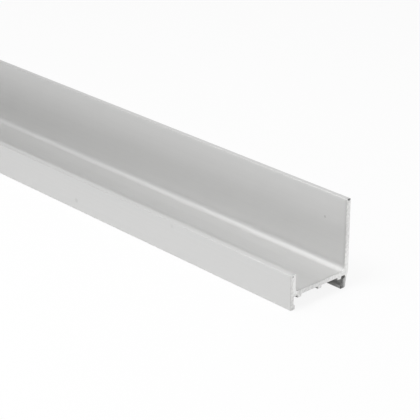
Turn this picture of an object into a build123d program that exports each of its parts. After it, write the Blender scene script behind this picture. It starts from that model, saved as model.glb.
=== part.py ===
from build123d import *
from math import radians, sin, tan
import os

# Aluminium extrusion profile: one straight length of h-shaped section, sawn square at both ends.
# X runs along the length, Y from the low front wall to the tall rear wall, and Z up.
# The origin is under the middle of the length, halfway between the front and rear faces,
# on the level that both feet stand on. All sizes are in millimetres.

# Overall sizes
LENGTH = 1000.0
DEPTH = 20.0
HEIGHT = 23.5

# Rear wall, which rises from the floor and oversails the leg below it with a sloping shoulder
REAR_WALL = 1.4
REAR_WALL_FOOT = 2.9
SHOULDER_HEIGHT = 1.0

# Floor of the channel
FLOOR_TOP = 4.6
FLOOR = 1.2

# Front wall above the floor
FRONT_TOP = 9.25
FRONT_WALL = 1.7

# Legs below the floor: the front wall's skirt, and a rear leg set in from the rear face,
# whose foot leans in under the floor
SKIRT = 1.15
REAR_LEG = 1.3
REAR_LEG_SET_IN = 0.55
REAR_LEG_LEAN = 0.4

# Snap bead inside each foot: a flat face, and a slope back to the leg
BEAD_REACH = 0.4
BEAD_HEIGHT = 1.0
BEAD_SLOPE = 0.35

# Relief groove at the root of the rear leg, which lets the leg flex
RELIEF_DEPTH = 0.65
RELIEF_HEIGHT = 0.7
RELIEF_RADIUS = 0.3

# Ribs under the floor, evenly spaced between a gap beside the skirt and one beside the rear leg
RIB_COUNT = 3
RIB_WIDTH = 1.4
RIB_HEIGHT = 0.65
RIB_FRONT_GAP = 1.2
RIB_REAR_GAP = 0.55

# Radii of the remaining corners
CHANNEL_REAR_RADIUS = 1.8
CHANNEL_FRONT_RADIUS = 0.9
SHOULDER_RADIUS = 0.5
REAR_FOOT_RADIUS = 0.5
EDGE_RADIUS = 0.25
RIB_RADIUS = 0.2
ROOT_RADIUS = 0.12

# Places worked out from the sizes above
FRONT = -DEPTH / 2
REAR = DEPTH / 2
FLOOR_UNDER = FLOOR_TOP - FLOOR
SKIRT_INNER = FRONT + SKIRT
LEG_OUTER = REAR - REAR_LEG_SET_IN
LEG_INNER = LEG_OUTER - REAR_LEG
RELIEF_END = LEG_INNER + RELIEF_DEPTH
FIRST_RIB = SKIRT_INNER + RIB_FRONT_GAP + RIB_WIDTH / 2
LAST_RIB = LEG_INNER - RIB_REAR_GAP - RIB_WIDTH / 2
RIB_PITCH = (LAST_RIB - FIRST_RIB) / max(RIB_COUNT - 1, 1)


def foot(outer, inner, outer_radius):
    """A foot's corners from its outer side to its inner side, as (y, z, radius)."""
    bead = inner + BEAD_REACH if inner > outer else inner - BEAD_REACH
    return [
        (outer, 0.0, outer_radius),
        (bead, 0.0, EDGE_RADIUS),
        (bead, BEAD_HEIGHT, EDGE_RADIUS),
        (inner, BEAD_HEIGHT + BEAD_SLOPE, EDGE_RADIUS),
    ]


def rib(index):
    """One rib's corners from front to rear, as (y, z, radius)."""
    front = FIRST_RIB + index * RIB_PITCH - RIB_WIDTH / 2
    rear = front + RIB_WIDTH
    return [
        (front, FLOOR_UNDER, ROOT_RADIUS),
        (front, FLOOR_UNDER - RIB_HEIGHT, RIB_RADIUS),
        (rear, FLOOR_UNDER - RIB_HEIGHT, RIB_RADIUS),
        (rear, FLOOR_UNDER, ROOT_RADIUS),
    ]


def relief():
    """The relief groove's corners, from the floor's underside down to the rear leg."""
    return [
        (RELIEF_END, FLOOR_UNDER, RELIEF_RADIUS),
        (RELIEF_END, FLOOR_UNDER - RELIEF_HEIGHT, RELIEF_RADIUS),
        (LEG_INNER, FLOOR_UNDER - RELIEF_HEIGHT, ROOT_RADIUS),
    ]


def lower_outline():
    """The corners below the floor, from the front face to the rear face."""
    corners = foot(FRONT, SKIRT_INNER, EDGE_RADIUS)
    corners.append((SKIRT_INNER, FLOOR_UNDER, ROOT_RADIUS))
    for index in range(RIB_COUNT):
        corners += rib(index)
    corners += relief()
    corners += reversed(foot(LEG_OUTER - REAR_LEG_LEAN, LEG_INNER - REAR_LEG_LEAN, REAR_FOOT_RADIUS))
    corners.append((LEG_OUTER, REAR_WALL_FOOT, ROOT_RADIUS))
    corners.append((REAR, REAR_WALL_FOOT + SHOULDER_HEIGHT, SHOULDER_RADIUS))
    return corners


def upper_outline():
    """The corners above the floor, from the rear face to the front face."""
    return [
        (REAR, HEIGHT, EDGE_RADIUS),
        (REAR - REAR_WALL, HEIGHT, EDGE_RADIUS),
        (REAR - REAR_WALL, FLOOR_TOP, CHANNEL_REAR_RADIUS),
        (FRONT + FRONT_WALL, FLOOR_TOP, CHANNEL_FRONT_RADIUS),
        (FRONT + FRONT_WALL, FRONT_TOP, EDGE_RADIUS),
        (FRONT, FRONT_TOP, EDGE_RADIUS),
    ]


def rounded_corner(before, corner, after):
    """The arc that rounds one corner, tangent to the straight lines on both sides of it."""
    tip = Vector(*corner[:2])
    back = (Vector(*before[:2]) - tip).normalized()
    ahead = (Vector(*after[:2]) - tip).normalized()
    half_angle = radians(back.get_angle(ahead)) / 2
    radius = corner[2]
    reach = radius / tan(half_angle)
    crown = radius / sin(half_angle) - radius
    middle = tip + (back + ahead).normalized() * crown
    return ThreePointArc(tip + back * reach, middle, tip + ahead * reach)


def section():
    """The cross-section as a face: an arc at each corner, and a line from each arc to the next."""
    corners = lower_outline() + upper_outline()
    count = len(corners)
    arcs = [rounded_corner(corners[i - 1], corners[i], corners[(i + 1) % count]) for i in range(count)]
    lines = [Line(arcs[i] @ 1, arcs[(i + 1) % count] @ 0) for i in range(count)]
    return make_face(arcs + lines)


def profile():
    """The section run along X, half the length to each side of the origin."""
    return extrude(Plane.YZ * section(), LENGTH / 2, both=True)


os.makedirs("parts", exist_ok=True)
export_step(profile(), "parts/profile.step")
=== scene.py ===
import math

import bpy
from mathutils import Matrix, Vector


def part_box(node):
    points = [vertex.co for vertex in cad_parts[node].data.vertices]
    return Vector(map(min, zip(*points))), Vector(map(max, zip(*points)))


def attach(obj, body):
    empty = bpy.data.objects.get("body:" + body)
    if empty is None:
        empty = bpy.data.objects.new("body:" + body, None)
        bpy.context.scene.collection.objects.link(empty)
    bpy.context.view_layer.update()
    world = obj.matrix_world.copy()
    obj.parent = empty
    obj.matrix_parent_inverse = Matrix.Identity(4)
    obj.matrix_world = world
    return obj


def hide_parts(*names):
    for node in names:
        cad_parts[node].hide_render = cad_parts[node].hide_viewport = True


# The looks of one straight length of aluminium extrusion: satin anodised faces and sawn ends.
# Everything is in metres, with X along the length, Y to the tall rear wall, and Z up.

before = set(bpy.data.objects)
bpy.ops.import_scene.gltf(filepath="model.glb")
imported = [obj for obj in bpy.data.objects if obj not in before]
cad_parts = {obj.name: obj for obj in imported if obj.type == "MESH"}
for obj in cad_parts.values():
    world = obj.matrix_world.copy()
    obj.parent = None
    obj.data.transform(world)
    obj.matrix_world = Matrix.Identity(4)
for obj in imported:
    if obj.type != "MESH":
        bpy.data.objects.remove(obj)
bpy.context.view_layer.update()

# Overall sizes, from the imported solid
LOW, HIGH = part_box("profile")
MM = 0.001
FRONT = LOW.y
REAR = HIGH.y
TOP = HIGH.z
FAR_END = LOW.x
NEAR_END = HIGH.x

# Sizes of the section, the same as in the solid
REAR_WALL = 1.4 * MM
REAR_WALL_FOOT = 2.9 * MM
SHOULDER_HEIGHT = 1.0 * MM
FLOOR_TOP = 4.6 * MM
FLOOR = 1.2 * MM
FRONT_TOP = 9.25 * MM
FRONT_WALL = 1.7 * MM
SKIRT = 1.15 * MM
REAR_LEG = 1.3 * MM
REAR_LEG_SET_IN = 0.55 * MM
REAR_LEG_LEAN = 0.4 * MM
BEAD_REACH = 0.4 * MM
BEAD_HEIGHT = 1.0 * MM
BEAD_SLOPE = 0.35 * MM
RELIEF_DEPTH = 0.65 * MM
RELIEF_HEIGHT = 0.7 * MM
RELIEF_RADIUS = 0.3 * MM
RIB_COUNT = 3
RIB_WIDTH = 1.4 * MM
RIB_HEIGHT = 0.65 * MM
RIB_FRONT_GAP = 1.2 * MM
RIB_REAR_GAP = 0.55 * MM
CHANNEL_REAR_RADIUS = 1.8 * MM
CHANNEL_FRONT_RADIUS = 0.9 * MM
SHOULDER_RADIUS = 0.5 * MM
REAR_FOOT_RADIUS = 0.5 * MM
EDGE_RADIUS = 0.25 * MM
RIB_RADIUS = 0.2 * MM
ROOT_RADIUS = 0.12 * MM

# Fineness of the mesh, and the deburred edge round each sawn end
ARC_STEPS = 10
DEBUR = 0.06 * MM

# A face shows sawn metal where its normal runs further along X than this, as on the deburred edges too
SAWN_FACING = 0.5

# Drawn surfaces: tones from dark to light, roughness from least to most, and the depth of the bump
DRAWN_TONES = ((0.55, 0.55, 0.54, 1.0), (0.735, 0.735, 0.73, 1.0))
DRAWN_ROUGHNESS = (0.56, 0.58)
DRAWN_BUMP = 0.01 * MM

# Die lines and frost: grains per metre along X, Y and Z, and how much the lines tell in tone and in bump
DIE_LINES = (6.0, 2500.0, 2500.0)
DIE_LINE_TONE = (0.93, 1.0)
DIE_LINE_BUMP = 0.5
FROST = (9000.0, 9000.0, 9000.0)

# Sawn ends: tones, roughness and bump as above, and the smears' grains per metre and share of the tone
SAWN_TONES = ((0.12, 0.12, 0.12, 1.0), (0.93, 0.93, 0.92, 1.0))
SAWN_ROUGHNESS = (0.45, 0.55)
SAWN_BUMP = 0.02 * MM
SMEARS = (1400.0, 1400.0, 1400.0)
SMEAR_TONE = (0.7, 0.92)

# The saw blade's arcs: their centre in Y and Z, their pitch, and how uneven and how detailed they are
BLADE_CENTRE = (-90 * MM, 100 * MM)
SAW_PITCH = 0.5 * MM
SAW_DISTORTION = 1.5
SAW_DETAIL = 3.0

# Texture nodes: the wave's period at a scale of 1, the part of the noise that is used, and bump strength
WAVE_PERIOD = 0.314
NOISE_SPAN = (0.3, 0.7)
BUMP_STRENGTH = 0.5

# Small specks on the rear wall's inner face and on the front face, as (place, radius, depth of tone)
SPECKS = (
    ((NEAR_END - 7 * MM, REAR - REAR_WALL, 16.8 * MM), 0.5 * MM, 0.8),
    ((NEAR_END - 42.4 * MM, FRONT, 8.1 * MM), 0.8 * MM, 0.2),
    ((NEAR_END - 81.6 * MM, FRONT, 2.8 * MM), 0.9 * MM, 0.4),
)

# Dark spots in the near end, at the tops of the rear wall and the front wall, given in the same way
CORNER_DARK_SPOTS = (
    ((NEAR_END, REAR - 0.6 * MM, TOP), 0.75 * MM, 0.85),
    ((NEAR_END, FRONT + 0.8 * MM, 8.8 * MM), 0.4 * MM, 0.4),
)

# The share of its radius within which a speck or dark spot has its full depth
MARK_CORE = 0.3

# Where the painted shade beside each end changes along the length, as the places at which the change starts
# and ends
END_SHADE_SPAN = (NEAR_END - 0.8 * MM, NEAR_END - 0.24 * MM)

# Where tones change across the depth
BEHIND_FRONT = (FRONT + 0.3 * MM, FRONT + 1.2 * MM)
AT_FRONT_WALL = (FRONT + 3.0 * MM, FRONT + 2.0 * MM)
REAR_HALF = (0.0, 6 * MM)
BESIDE_RIB = (REAR - 3.1 * MM, REAR - 2.85 * MM)
ACROSS_LEG = (REAR - 2.6 * MM, REAR - 0.2 * MM)
AT_REAR_FACE = (REAR - 1.2 * MM, REAR - 0.3 * MM)

# Where tones change up the height
LOW_DOWN = (14 * MM, 7 * MM)
ABOVE_FLOOR = (FLOOR_TOP - FLOOR, FLOOR_TOP)
BELOW_FLOOR = (FLOOR_TOP - FLOOR, FLOOR_TOP - 1.5 * FLOOR)

# How much the tone falls in the painted shade beside the ends, and in the painted shade on the rear leg's
# end from its inner to its outer side
END_SHADE_DEPTH = 0.28
LEG_END_SHADE = (0.87, 0.12)

# How far the painted shade on the rear leg's end slants in for each unit that it rises
LEG_SLANT = 0.25

# How much painted sheen raises the tone of a sawn end at the rear corner, at the rear face and on the front
# wall
CORNER_GLEAM = 0.13
REAR_FACE_GLEAM = 0.07
FRONT_WALL_GLEAM = 0.18

# The camera: its lens and direction, and the pixel and the depth at which it sees the near end's front foot
PHOTO_SIDE = 420
SENSOR = 36.0
FOCAL_PIXELS = 1625.0
CAMERA_AZIMUTH = 47.35
CAMERA_ELEVATION = 23.71
FOOT_PIXEL = (290.2, 311.3)
FOOT_DEPTH = 0.38655
CLIP_START = 0.01
CLIP_END = 100.0

# Soft round lamps that face the near end, as (name, azimuth, elevation, distance, width, brightness).
# Azimuth runs from the front towards the near end, and a brightness of 1 is that of a white wall.
LAMPS = (
    ("softbox", 0, 65, 0.4, 0.2, 6.4),
    ("overhead", 0, 90, 0.4, 0.2, 2.2),
    ("side_fill", 315, 40, 0.4, 0.2, 1.0),
    ("front_fill", 0, 15, 0.4, 0.2, 1.8),
    ("back_fill", 225, 40, 1.6, 0.7, 1.35),
)
LAMP_TARGET = Vector((NEAR_END - 50 * MM, 0.0, 10 * MM))

# The brightness of the even light from all round
SKY = 0.47

# The stage: half its side, its colour, how white the camera sees it, and the reach of the contact shadow
STAGE_REACH = 20.0
STAGE_COLOUR = (0.9, 0.9, 0.9, 1.0)
WHITE_SHARE = 0.88
CONTACT_REACH = 30 * MM


def foot(outer, inner, outer_radius):
    """A foot's corners from its outer side to its inner side, as (y, z, radius)."""
    bead = inner + BEAD_REACH if inner > outer else inner - BEAD_REACH
    return [
        (outer, 0.0, outer_radius),
        (bead, 0.0, EDGE_RADIUS),
        (bead, BEAD_HEIGHT, EDGE_RADIUS),
        (inner, BEAD_HEIGHT + BEAD_SLOPE, EDGE_RADIUS),
    ]


def section_corners():
    """The section's corners as (y, z, radius), from the front foot under the floor and back over it."""
    floor_under = FLOOR_TOP - FLOOR
    rib_under = floor_under - RIB_HEIGHT
    skirt_inner = FRONT + SKIRT
    leg_outer = REAR - REAR_LEG_SET_IN
    leg_inner = leg_outer - REAR_LEG
    first_rib = skirt_inner + RIB_FRONT_GAP
    last_rib = leg_inner - RIB_REAR_GAP - RIB_WIDTH
    corners = foot(FRONT, skirt_inner, EDGE_RADIUS) + [(skirt_inner, floor_under, ROOT_RADIUS)]
    for index in range(RIB_COUNT):
        front = first_rib + (last_rib - first_rib) * index / (RIB_COUNT - 1)
        rear = front + RIB_WIDTH
        corners += [
            (front, floor_under, ROOT_RADIUS),
            (front, rib_under, RIB_RADIUS),
            (rear, rib_under, RIB_RADIUS),
            (rear, floor_under, ROOT_RADIUS),
        ]
    corners += [
        (leg_inner + RELIEF_DEPTH, floor_under, RELIEF_RADIUS),
        (leg_inner + RELIEF_DEPTH, floor_under - RELIEF_HEIGHT, RELIEF_RADIUS),
        (leg_inner, floor_under - RELIEF_HEIGHT, ROOT_RADIUS),
    ]
    corners += reversed(foot(leg_outer - REAR_LEG_LEAN, leg_inner - REAR_LEG_LEAN, REAR_FOOT_RADIUS))
    corners += [
        (leg_outer, REAR_WALL_FOOT, ROOT_RADIUS),
        (REAR, REAR_WALL_FOOT + SHOULDER_HEIGHT, SHOULDER_RADIUS),
        (REAR, TOP, EDGE_RADIUS),
        (REAR - REAR_WALL, TOP, EDGE_RADIUS),
        (REAR - REAR_WALL, FLOOR_TOP, CHANNEL_REAR_RADIUS),
        (FRONT + FRONT_WALL, FLOOR_TOP, CHANNEL_FRONT_RADIUS),
        (FRONT + FRONT_WALL, FRONT_TOP, EDGE_RADIUS),
        (FRONT, FRONT_TOP, EDGE_RADIUS),
    ]
    return corners


def rounded(before, corner, after):
    """Points and outward normals along the arc that rounds one corner, as ((y, z), (y, z)) pairs."""
    tip = Vector(corner[:2])
    radius = corner[2]
    back = (Vector(before[:2]) - tip).normalized()
    ahead = (Vector(after[:2]) - tip).normalized()
    half_angle = back.angle(ahead) / 2
    centre = tip + (back + ahead).normalized() * radius / math.sin(half_angle)
    start = (tip + back * radius / math.tan(half_angle) - centre) / radius
    end = (tip + ahead * radius / math.tan(half_angle) - centre) / radius
    turn = start.angle_signed(end)
    # The outline runs with the metal on its left, so a turn to the left is an outer corner.
    outward = 1.0 if back.x * ahead.y - back.y * ahead.x < 0 else -1.0
    found = []
    for step in range(ARC_STEPS + 1):
        angle = -turn * step / ARC_STEPS
        direction = Vector((
            start.x * math.cos(angle) - start.y * math.sin(angle),
            start.x * math.sin(angle) + start.y * math.cos(angle),
        ))
        found.append((centre + direction * radius, direction * outward))
    return found


def section_outline():
    """The whole outline as point and normal pairs."""
    corners = section_corners()
    outline = []
    for index, corner in enumerate(corners):
        after = corners[(index + 1) % len(corners)]
        outline += rounded(corners[index - 1], corner, after)
    return outline


def profile_mesh():
    """The section run along X, with a deburred edge and a flat sawn face at each end."""
    outline = section_outline()
    # Each ring is its place along X and how far it is drawn in from the outline.
    rings = [
        (FAR_END, DEBUR),
        (FAR_END + DEBUR, 0.0),
        (NEAR_END - DEBUR, 0.0),
        (NEAR_END, DEBUR),
    ]
    vertices = []
    for x, inset in rings:
        vertices += [(x, *(point - normal * inset)) for point, normal in outline]
    count = len(outline)
    last = (len(rings) - 1) * count
    faces = []
    normals = []
    for ring in range(0, last, count):
        for i in range(count):
            j = (i + 1) % count
            faces.append((ring + i, ring + j, ring + count + j, ring + count + i))
            side_i, side_j = (0.0, *outline[i][1]), (0.0, *outline[j][1])
            normals += [side_i, side_j, side_j, side_i]
    faces.append(tuple(reversed(range(count))))
    faces.append(tuple(range(last, last + count)))
    normals += [(-1.0, 0.0, 0.0)] * count + [(1.0, 0.0, 0.0)] * count
    mesh = bpy.data.meshes.new("profile_dressed")
    mesh.from_pydata(vertices, [], faces)
    return mesh, normals


def build_profile():
    """The dressed profile, which takes the solid's place."""
    mesh, normals = profile_mesh()
    mesh.materials.append(drawn_aluminium())
    mesh.materials.append(sawn_aluminium())
    for face in mesh.polygons:
        face.use_smooth = True
        face.material_index = int(abs(face.normal.x) > SAWN_FACING)
    mesh.normals_split_custom_set(normals)
    piece = bpy.data.objects.new("profile_dressed", mesh)
    bpy.context.scene.collection.objects.link(piece)
    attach(piece, "root")
    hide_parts("profile")


def new_material(name):
    """A node material with its node tree and its Principled shader."""
    material = bpy.data.materials.new(name)
    material.use_nodes = True
    return material, material.node_tree, material.node_tree.nodes["Principled BSDF"]


def calculate(tree, operation, *values):
    """The result of a sum on one or two values, each a socket or a number."""
    node = tree.nodes.new("ShaderNodeMath")
    node.operation = operation
    for value, socket in zip(values, node.inputs):
        if isinstance(value, bpy.types.NodeSocket):
            tree.links.new(value, socket)
        else:
            socket.default_value = value
    return node.outputs[0]


def product(tree, result, *others):
    """All the values multiplied together, each a socket or a number."""
    for other in others:
        result = calculate(tree, "MULTIPLY", result, other)
    return result


def ramp(tree, value, span, levels=(0.0, 1.0)):
    """A smooth change between two levels while a value goes from the span's start to its end."""
    node = tree.nodes.new("ShaderNodeMapRange")
    node.interpolation_type = "SMOOTHSTEP"
    for name, number in zip(("From Min", "From Max", "To Min", "To Max"), (*span, *levels)):
        node.inputs[name].default_value = number
    tree.links.new(value, node.inputs["Value"])
    return node.outputs["Result"]


def object_point(tree):
    """The place on the object, in metres, and its three parts."""
    place = tree.nodes.new("ShaderNodeTexCoord").outputs["Object"]
    parts = tree.nodes.new("ShaderNodeSeparateXYZ")
    tree.links.new(place, parts.inputs[0])
    return place, parts.outputs


def grain(tree, place, fineness):
    """Noise with so many grains per metre along each axis."""
    stretch = tree.nodes.new("ShaderNodeMapping")
    stretch.inputs["Scale"].default_value = fineness
    noise = tree.nodes.new("ShaderNodeTexNoise")
    noise.inputs["Scale"].default_value = 1.0
    tree.links.new(place, stretch.inputs["Vector"])
    tree.links.new(stretch.outputs["Vector"], noise.inputs["Vector"])
    return noise.outputs["Fac"]


def saw_rings(tree, place):
    """The arcs that the blade leaves, round the blade's own centre."""
    centre = tree.nodes.new("ShaderNodeMapping")
    centre.inputs["Location"].default_value = (0.0, *(-part for part in BLADE_CENTRE))
    rings = tree.nodes.new("ShaderNodeTexWave")
    rings.wave_type = "RINGS"
    rings.rings_direction = "X"
    rings.inputs["Scale"].default_value = WAVE_PERIOD / SAW_PITCH
    rings.inputs["Distortion"].default_value = SAW_DISTORTION
    rings.inputs["Detail"].default_value = SAW_DETAIL
    tree.links.new(place, centre.inputs["Vector"])
    tree.links.new(centre.outputs["Vector"], rings.inputs["Vector"])
    return rings.outputs["Fac"]


def marked(tree, place, tone, marks):
    """A tone with small round marks, each of which fades out at its radius."""
    for centre, radius, depth in marks:
        distance = tree.nodes.new("ShaderNodeVectorMath")
        distance.operation = "DISTANCE"
        distance.inputs[1].default_value = centre
        tree.links.new(place, distance.inputs[0])
        mark = ramp(tree, distance.outputs["Value"], (radius, MARK_CORE * radius), (0.0, depth))
        tone = calculate(tree, "SUBTRACT", tone, mark)
    return tone


def tint(tree, shader, tones, amount):
    """Colour a surface between a dark and a light tone."""
    blend = tree.nodes.new("ShaderNodeMix")
    blend.data_type = "RGBA"
    colours = [socket for socket in blend.inputs if socket.type == "RGBA"]
    for socket, tone in zip(colours, tones):
        socket.default_value = tone
    tree.links.new(amount, blend.inputs["Factor"])
    result = next(socket for socket in blend.outputs if socket.type == "RGBA")
    tree.links.new(result, shader.inputs["Base Color"])


def roughen(tree, shader, roughness, height, depth):
    """Make a surface rough, with relief that is too fine for the mesh."""
    bump = tree.nodes.new("ShaderNodeBump")
    bump.inputs["Distance"].default_value = depth
    bump.inputs["Strength"].default_value = BUMP_STRENGTH
    tree.links.new(height, bump.inputs["Height"])
    tree.links.new(bump.outputs["Normal"], shader.inputs["Normal"])
    tree.links.new(roughness, shader.inputs["Roughness"])


def drawn_aluminium():
    """Satin anodised metal, with faint die lines along the length, small specks and painted shade beside
    its ends.
    """
    material, tree, shader = new_material("drawn_aluminium")
    place, (along, across, _) = object_point(tree)
    lines = grain(tree, place, DIE_LINES)
    frost = grain(tree, place, FROST)
    at_end = ramp(tree, calculate(tree, "ABSOLUTE", along), END_SHADE_SPAN)
    # Painted shade: the tone is darker beside each end, except on the front face.
    end_shade = product(tree, at_end, ramp(tree, across, BEHIND_FRONT, (0.0, END_SHADE_DEPTH)))
    tone = calculate(tree, "SUBTRACT", ramp(tree, lines, NOISE_SPAN, DIE_LINE_TONE), end_shade)
    tint(tree, shader, DRAWN_TONES, marked(tree, place, tone, SPECKS))
    shader.inputs["Metallic"].default_value = 1.0
    roughness = ramp(tree, lines, NOISE_SPAN, DRAWN_ROUGHNESS)
    height = calculate(tree, "ADD", product(tree, lines, DIE_LINE_BUMP), frost)
    roughen(tree, shader, roughness, height, DRAWN_BUMP)
    return material


def leg_end_shade(tree, across, up):
    """How much painted shade darkens the rear leg's end: most on its inner side, and not at all on the rib
    beside it.
    """
    slanted = calculate(tree, "SUBTRACT", across, product(tree, up, LEG_SLANT))
    beside = ramp(tree, slanted, BESIDE_RIB)
    below = ramp(tree, up, BELOW_FLOOR)
    return product(tree, beside, below, ramp(tree, across, ACROSS_LEG, LEG_END_SHADE))


def rear_gleam(tree, across, up):
    """How much painted sheen brightens the rear wall's end and the floor's end beside it: most near the
    corner.
    """
    behind = ramp(tree, across, REAR_HALF, (0.0, CORNER_GLEAM))
    corner = product(tree, ramp(tree, up, LOW_DOWN), behind)
    face = ramp(tree, across, AT_REAR_FACE, (0.0, REAR_FACE_GLEAM))
    return calculate(tree, "ADD", corner, face)


def front_gleam(tree, across, up):
    """How much painted sheen brightens the front wall's end on the channel's side."""
    side = ramp(tree, across, BEHIND_FRONT, (0.0, FRONT_WALL_GLEAM))
    return product(tree, side, ramp(tree, across, AT_FRONT_WALL), ramp(tree, up, ABOVE_FLOOR))


def sawn_aluminium():
    """Bare sawn metal, with painted sheen beside the channel, painted shade on the rear leg's end, and dark
    spots at two corners.
    """
    material, tree, shader = new_material("sawn_aluminium")
    place, (_, across, up) = object_point(tree)
    smears = grain(tree, place, SMEARS)
    tone = ramp(tree, smears, NOISE_SPAN, SMEAR_TONE)
    # Painted sheen at the rear corner, at the rear face and on the front wall's channel side.
    for gleam in (rear_gleam(tree, across, up), front_gleam(tree, across, up)):
        tone = calculate(tree, "ADD", tone, gleam)
    # Painted shade on the rear leg's end, darkest on its inner side.
    tone = calculate(tree, "SUBTRACT", tone, leg_end_shade(tree, across, up))
    tint(tree, shader, SAWN_TONES, marked(tree, place, tone, CORNER_DARK_SPOTS))
    shader.inputs["Metallic"].default_value = 1.0
    roughness = ramp(tree, smears, NOISE_SPAN, SAWN_ROUGHNESS)
    height = calculate(tree, "ADD", saw_rings(tree, place), smears)
    roughen(tree, shader, roughness, height, SAWN_BUMP)
    return material


def direction_to(azimuth, elevation):
    """The way from the object towards a place, with azimuth from the front towards the near end."""
    azimuth, elevation = math.radians(azimuth), math.radians(elevation)
    level = math.cos(elevation)
    return Vector((math.sin(azimuth) * level, -math.cos(azimuth) * level, math.sin(elevation)))


def make_camera():
    """The camera at the photograph's angle, placed so that the near foot falls on its pixel."""
    turn = (-direction_to(CAMERA_AZIMUTH, CAMERA_ELEVATION)).to_track_quat("-Z", "Y")
    centre = PHOTO_SIDE / 2
    ray = Vector((
        (FOOT_PIXEL[0] - centre) / FOCAL_PIXELS,
        (centre - FOOT_PIXEL[1]) / FOCAL_PIXELS,
        -1.0,
    ))
    data = bpy.data.cameras.new("camera")
    data.sensor_width = SENSOR
    data.lens = FOCAL_PIXELS * SENSOR / PHOTO_SIDE
    data.clip_start = CLIP_START
    data.clip_end = CLIP_END
    camera = bpy.data.objects.new("camera", data)
    camera.rotation_mode = "QUATERNION"
    camera.rotation_quaternion = turn
    camera.location = Vector((NEAR_END, FRONT, 0.0)) - turn @ (ray * FOOT_DEPTH)
    bpy.context.scene.collection.objects.link(camera)
    bpy.context.scene.camera = camera


def make_lamps():
    """The soft lamps, unseen by the camera."""
    for name, azimuth, elevation, distance, width, brightness in LAMPS:
        data = bpy.data.lights.new(name, "AREA")
        data.shape = "DISK"
        data.size = width
        # A flat lamp of even brightness sends out this times pi times its area.
        data.energy = brightness * math.pi * math.pi * (width / 2) ** 2
        lamp = bpy.data.objects.new(name, data)
        away = direction_to(azimuth, elevation)
        lamp.location = LAMP_TARGET + away * distance
        lamp.rotation_mode = "QUATERNION"
        lamp.rotation_quaternion = (-away).to_track_quat("-Z", "Y")
        lamp.visible_camera = False
        bpy.context.scene.collection.objects.link(lamp)


def make_world():
    """Even light from all round."""
    world = bpy.data.worlds.new("studio")
    world.use_nodes = True
    background = world.node_tree.nodes["Background"]
    background.inputs["Color"].default_value = (1.0, 1.0, 1.0, 1.0)
    background.inputs["Strength"].default_value = SKY
    bpy.context.scene.world = world


def white_backdrop(tree, shader):
    """Show a surface near white to the camera, and in the open to mirror-like rays too."""
    nodes, links = tree.nodes, tree.links
    path = nodes.new("ShaderNodeLightPath").outputs
    mirror = calculate(tree, "MAXIMUM", path["Is Glossy Ray"], path["Is Transmission Ray"])
    # Close under the object, mirror-like rays find its contact shadow instead of white.
    contact = nodes.new("ShaderNodeAmbientOcclusion")
    contact.inputs["Distance"].default_value = CONTACT_REACH
    in_open = product(tree, mirror, contact.outputs["AO"])
    seen = calculate(tree, "MAXIMUM", path["Is Camera Ray"], in_open)
    white = nodes.new("ShaderNodeEmission")
    blend = nodes.new("ShaderNodeMixShader")
    links.new(product(tree, seen, WHITE_SHARE), blend.inputs["Fac"])
    links.new(shader.outputs[0], blend.inputs[1])
    links.new(white.outputs[0], blend.inputs[2])
    links.new(blend.outputs[0], nodes["Material Output"].inputs["Surface"])


def make_floor():
    """A wide plain floor under the object."""
    corners = [(x * STAGE_REACH, y * STAGE_REACH, 0.0) for x, y in ((-1, -1), (1, -1), (1, 1), (-1, 1))]
    mesh = bpy.data.meshes.new("floor")
    mesh.from_pydata(corners, [], [(0, 1, 2, 3)])
    floor = bpy.data.objects.new("floor", mesh)
    bpy.context.scene.collection.objects.link(floor)
    material, tree, shader = new_material("floor")
    shader.inputs["Base Color"].default_value = STAGE_COLOUR
    shader.inputs["Roughness"].default_value = 1.0
    shader.inputs["Specular IOR Level"].default_value = 0.0
    white_backdrop(tree, shader)
    mesh.materials.append(material)


make_camera()
make_lamps()
make_world()
make_floor()
build_profile()
bpy.context.scene.view_settings.view_transform = "Standard"
